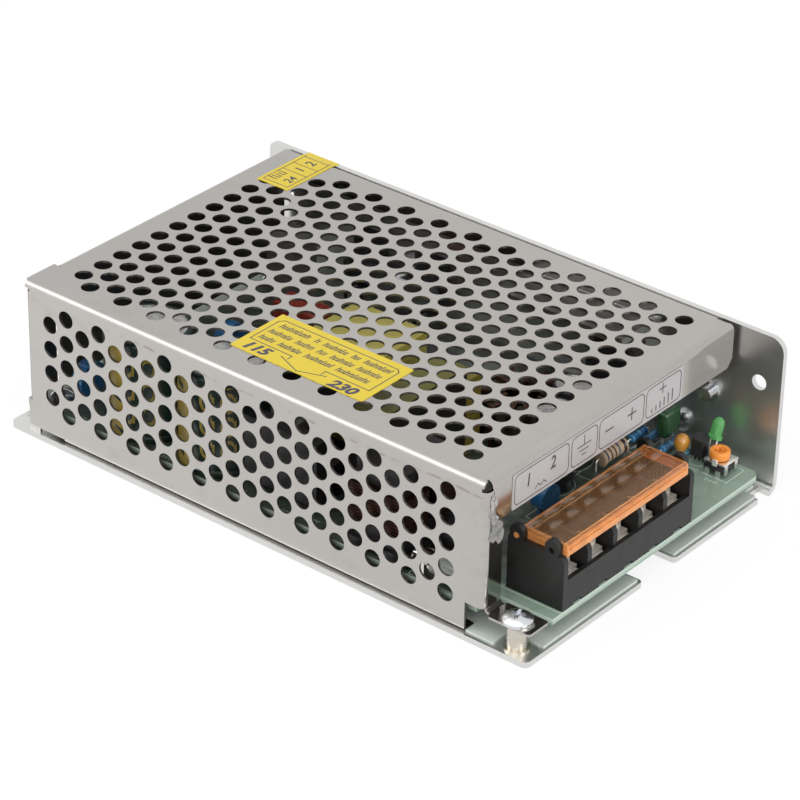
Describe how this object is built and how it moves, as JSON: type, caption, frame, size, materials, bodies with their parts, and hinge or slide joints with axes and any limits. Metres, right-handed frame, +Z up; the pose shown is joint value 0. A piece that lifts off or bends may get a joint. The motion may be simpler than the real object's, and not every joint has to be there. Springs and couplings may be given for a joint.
{
  "type": "mesh case switching power supply",
  "caption": "Power supply in a folded aluminium chassis with a perforated steel cover and an open end that shows a screw terminal block under a hinged amber cover.",
  "frame": {"origin": "middle of the underside of the chassis base", "axes": "+X to the open end with the terminals, +Y to the tall chassis wall, +Z up from the base"},
  "size_m": [0.159, 0.098, 0.0421],
  "materials": {
    "chassis_aluminium": "satin aluminium sheet",
    "cover_steel": "bright plated steel sheet",
    "sheet_film": "milky insulating film",
    "board_green": "green circuit board laminate",
    "standoff_metal": "nickel plated brass",
    "screw_steel": "plated steel",
    "block_black": "black moulded plastic",
    "terminal_metal": "tinned metal",
    "flap_amber": "transparent amber plastic",
    "label_white": "printed label",
    "label_yellow": "printed label",
    "plastic_black": "black plastic",
    "plastic_orange": "orange plastic",
    "lamp_green": "green tinted lens",
    "bead_orange": "dipped coating",
    "resistor_blue": "lacquered body",
    "resistor_beige": "lacquered body",
    "film_green": "dipped coating",
    "disc_blue": "dipped coating",
    "glass_fuse": "glass tube with metal caps",
    "ferrite": "dark ferrite",
    "copper": "enamelled copper",
    "can_green": "sleeved aluminium can",
    "can_black": "sleeved aluminium can",
    "tape_yellow": "yellow winding tape",
    "tape_mustard": "mustard tape",
    "film_red": "dipped coating",
    "ceramic_white": "white ceramic",
    "slider_red": "red plastic",
    "core_yellow": "painted powder core"
  },
  "bodies": {
    "case": {"chassis": "chassis_aluminium", "perforated_cover": "cover_steel", "insulating_sheet": "sheet_film", "circuit_board": "board_green", "tall_standoff": "standoff_metal", "board_standoffs": "standoff_metal", "board_screws": "screw_steel", "tab_screw": "screw_steel", "cover_screws": "screw_steel", "wall_screws": "screw_steel", "terminal_block": "block_black", "terminal_plates": "terminal_metal", "legend_label": "label_white", "voltage_label": "label_yellow", "date_label": "label_yellow", "trimmer_body": "plastic_black", "indicator_lamp": "lamp_green", "small_transistor": "plastic_black", "bead_capacitor": "bead_orange", "small_resistors": "resistor_blue", "power_resistor": "resistor_beige", "film_capacitor": "film_green", "varistor": "disc_blue", "fuse": "glass_fuse", "thermistor": "plastic_black", "choke_core": "plastic_black", "choke_windings": "copper", "bridge_rectifier": "plastic_black", "bulk_capacitors": "can_green", "transformer_core": "ferrite", "transformer_winding": "tape_yellow", "driver_transformer": "tape_mustard", "line_capacitor": "tape_mustard", "disc_capacitors": "disc_blue", "snubber_capacitor": "bead_orange", "blocking_capacitor": "film_red", "cement_resistor": "ceramic_white", "selector_body": "plastic_black", "switching_transistors": "plastic_black", "transistor_clamp": "screw_steel", "output_rectifier": "plastic_black", "heat_sink": "chassis_aluminium", "inductor_core": "core_yellow", "inductor_winding": "copper", "output_capacitors": "can_black", "control_chip": "plastic_black"},
    "clamp_1": {"clamp_washer_1": "terminal_metal"},
    "screw_1": {"terminal_screw_1": "terminal_metal"},
    "clamp_2": {"clamp_washer_2": "terminal_metal"},
    "screw_2": {"terminal_screw_2": "terminal_metal"},
    "clamp_3": {"clamp_washer_3": "terminal_metal"},
    "screw_3": {"terminal_screw_3": "terminal_metal"},
    "clamp_4": {"clamp_washer_4": "terminal_metal"},
    "screw_4": {"terminal_screw_4": "terminal_metal"},
    "clamp_5": {"clamp_washer_5": "terminal_metal"},
    "screw_5": {"terminal_screw_5": "terminal_metal"},
    "flap": {"terminal_cover": "flap_amber"},
    "rotor": {"trimmer_rotor": "plastic_orange"},
    "slider": {"selector_slider": "slider_red"}
  },
  "joints": [
    {"name": "clamp_lift_1", "type": "slide", "parent": "case", "child": "clamp_1", "axis": [0, 0, 1], "range_m": [0, 0.0024]},
    {"name": "screw_turn_1", "type": "hinge", "parent": "clamp_1", "child": "screw_1", "pos_m": [0.0725, -0.0298, 0.0166], "axis": [0, 0, 1], "range_deg": [0, 1440]},
    {"name": "clamp_lift_2", "type": "slide", "parent": "case", "child": "clamp_2", "axis": [0, 0, 1], "range_m": [0, 0.0024]},
    {"name": "screw_turn_2", "type": "hinge", "parent": "clamp_2", "child": "screw_2", "pos_m": [0.0725, -0.0202, 0.0166], "axis": [0, 0, 1], "range_deg": [0, 1440]},
    {"name": "clamp_lift_3", "type": "slide", "parent": "case", "child": "clamp_3", "axis": [0, 0, 1], "range_m": [0, 0.0024]},
    {"name": "screw_turn_3", "type": "hinge", "parent": "clamp_3", "child": "screw_3", "pos_m": [0.0725, -0.0106, 0.0166], "axis": [0, 0, 1], "range_deg": [0, 1440]},
    {"name": "clamp_lift_4", "type": "slide", "parent": "case", "child": "clamp_4", "axis": [0, 0, 1], "range_m": [0, 0.0024]},
    {"name": "screw_turn_4", "type": "hinge", "parent": "clamp_4", "child": "screw_4", "pos_m": [0.0725, -0.001, 0.0166], "axis": [0, 0, 1], "range_deg": [0, 1440]},
    {"name": "clamp_lift_5", "type": "slide", "parent": "case", "child": "clamp_5", "axis": [0, 0, 1], "range_m": [0, 0.0024]},
    {"name": "screw_turn_5", "type": "hinge", "parent": "clamp_5", "child": "screw_5", "pos_m": [0.0725, 0.0086, 0.0166], "axis": [0, 0, 1], "range_deg": [0, 1440]},
    {"name": "terminal_cover_hinge", "type": "hinge", "parent": "case", "child": "flap", "pos_m": [0.0653, -0.0106, 0.0227], "axis": [0, -1, 0], "range_deg": [0, 66]},
    {"name": "trimmer_turn", "type": "hinge", "parent": "case", "child": "rotor", "pos_m": [0.0709, 0.0366, 0.012], "axis": [0, 0, 1], "range_deg": [-120, 120]},
    {"name": "selector_slide", "type": "slide", "parent": "case", "child": "slider", "axis": [1, 0, 0], "range_m": [0, 0.003]}
  ],
  "couplings": [
    {"joint": "screw_turn_1", "follows": "clamp_lift_1", "rad_per_m": 10472},
    {"joint": "screw_turn_2", "follows": "clamp_lift_2", "rad_per_m": 10472},
    {"joint": "screw_turn_3", "follows": "clamp_lift_3", "rad_per_m": 10472},
    {"joint": "screw_turn_4", "follows": "clamp_lift_4", "rad_per_m": 10472},
    {"joint": "screw_turn_5", "follows": "clamp_lift_5", "rad_per_m": 10472}
  ]
}
